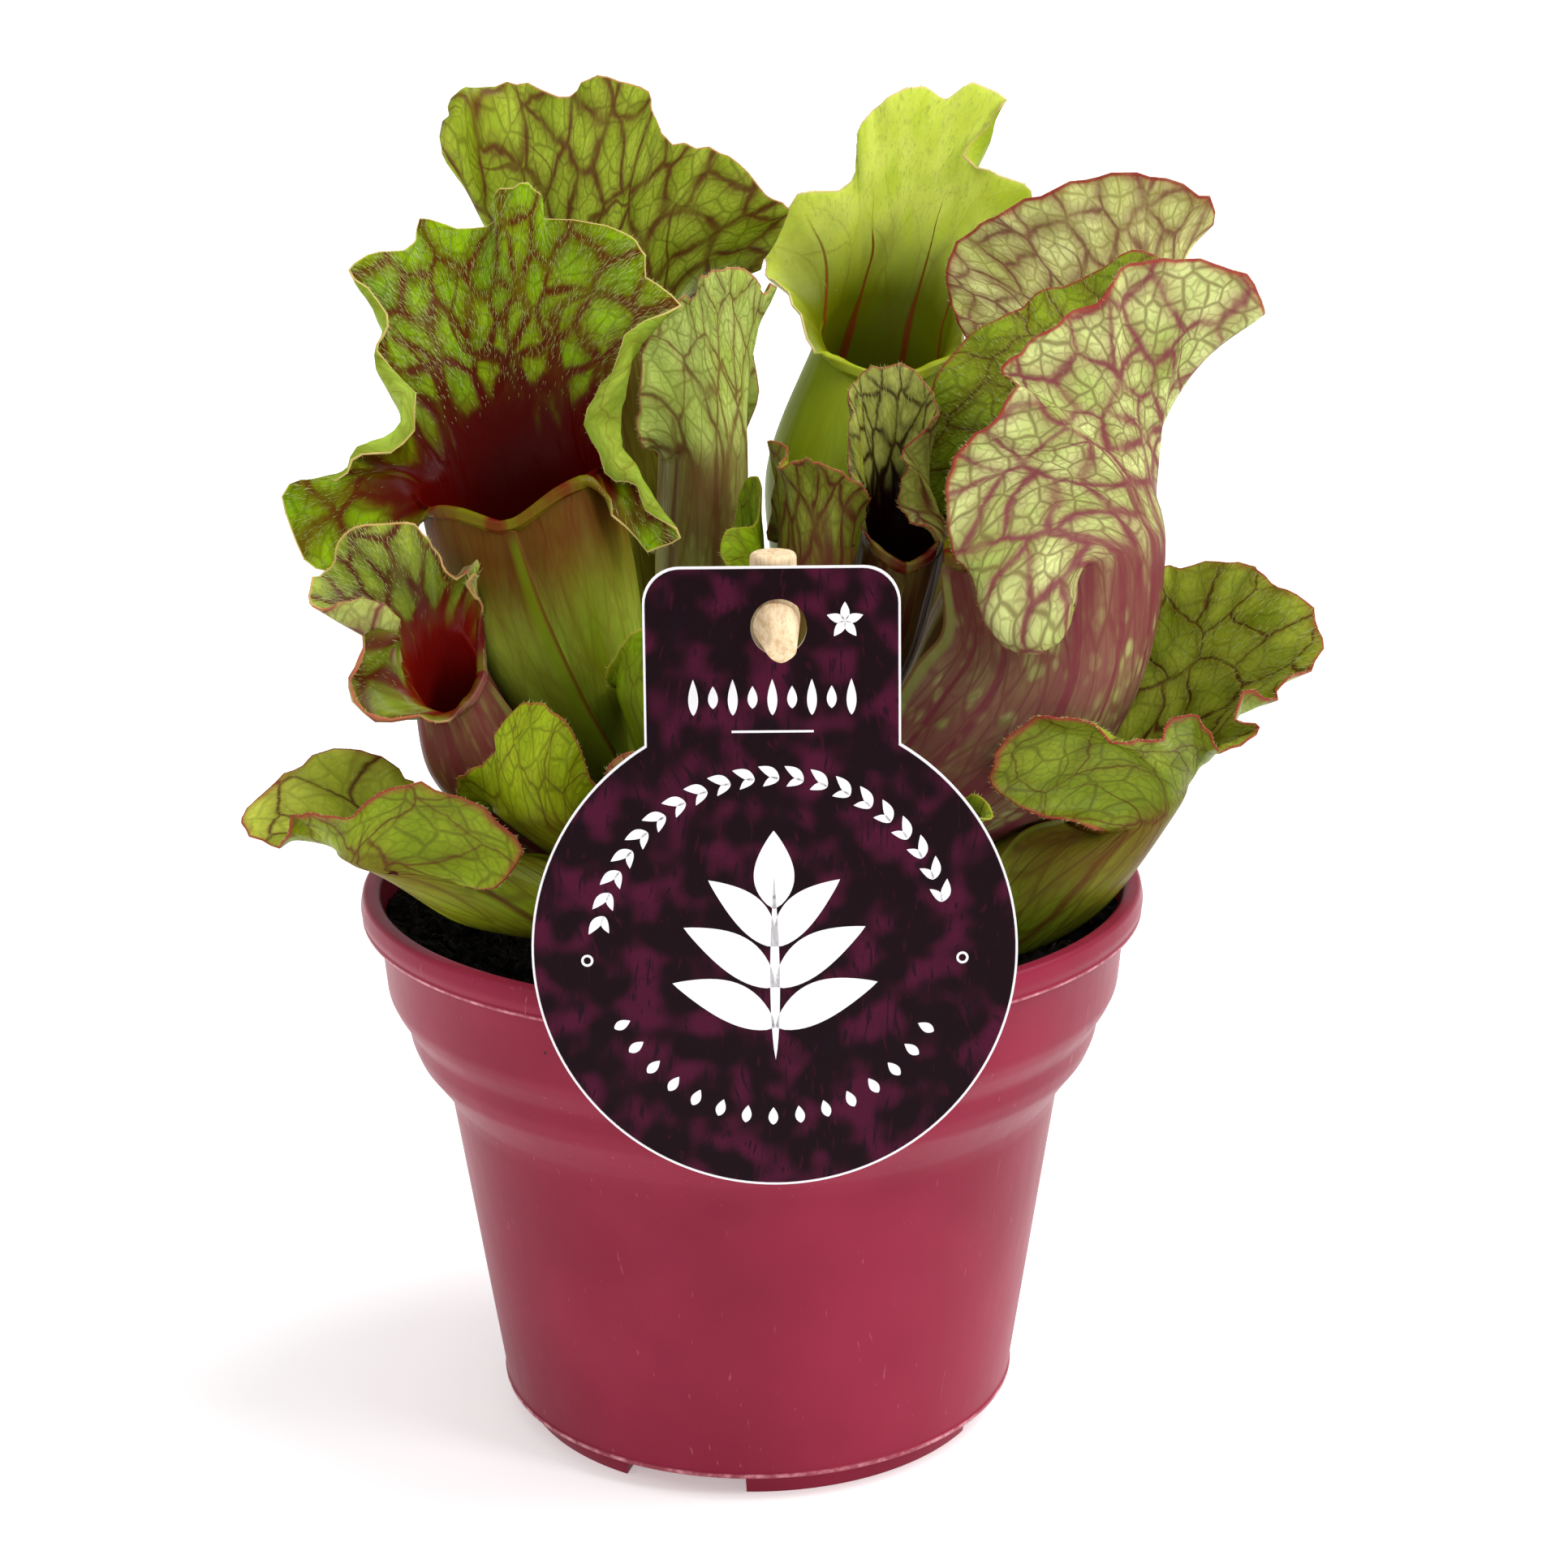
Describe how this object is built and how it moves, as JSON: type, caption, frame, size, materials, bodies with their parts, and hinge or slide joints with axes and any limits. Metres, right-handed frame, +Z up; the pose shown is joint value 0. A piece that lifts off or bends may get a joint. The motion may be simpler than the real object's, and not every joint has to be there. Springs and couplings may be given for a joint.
{
  "type": "potted pitcher plant",
  "caption": "Pitcher plant with hooded, red-veined trumpet leaves in a raspberry plastic nursery pot, with a round dark name card hanging on a wooden stake.",
  "frame": {"origin": "middle of the underside of the whole piece's bounding box, on the surface that the pot stands on", "axes": "+Z up, -Y towards the front with the name card, +X to the right seen from the front"},
  "size_m": [0.1588, 0.126, 0.2041],
  "materials": {
    "leaf_green_veined": "satin",
    "leaf_deep_green": "satin",
    "leaf_yellow_green": "satin",
    "leaf_pale_green": "satin",
    "leaf_rosy": "satin",
    "leaf_maroon": "satin",
    "pot_plastic": "satin",
    "soil": "matte",
    "crown_tissue": "matte",
    "card_board": "satin",
    "pale_wood": "matte"
  },
  "bodies": {
    "root": {"pitcher_front_left": "leaf_green_veined", "pitcher_back_left": "leaf_deep_green", "pitcher_back_middle": "leaf_green_veined", "pitcher_back_right": "leaf_yellow_green", "pitcher_far_right": "leaf_pale_green", "pitcher_front_right": "leaf_rosy", "pitcher_dark_throat": "leaf_maroon", "pitcher_slim_middle": "leaf_green_veined", "pitcher_thin_middle": "leaf_yellow_green", "pitcher_low_right": "leaf_green_veined", "pitcher_low_left": "leaf_green_veined", "pitcher_curled_left": "leaf_green_veined", "pitcher_young_left": "leaf_yellow_green", "pitcher_low_middle": "leaf_green_veined", "pitcher_bud_left": "leaf_rosy", "pitcher_bud_right": "leaf_yellow_green", "soil": "soil", "pot": "pot_plastic", "crown": "crown_tissue", "name_card": "card_board", "card_stake": "pale_wood"}
  },
  "joints": []
}
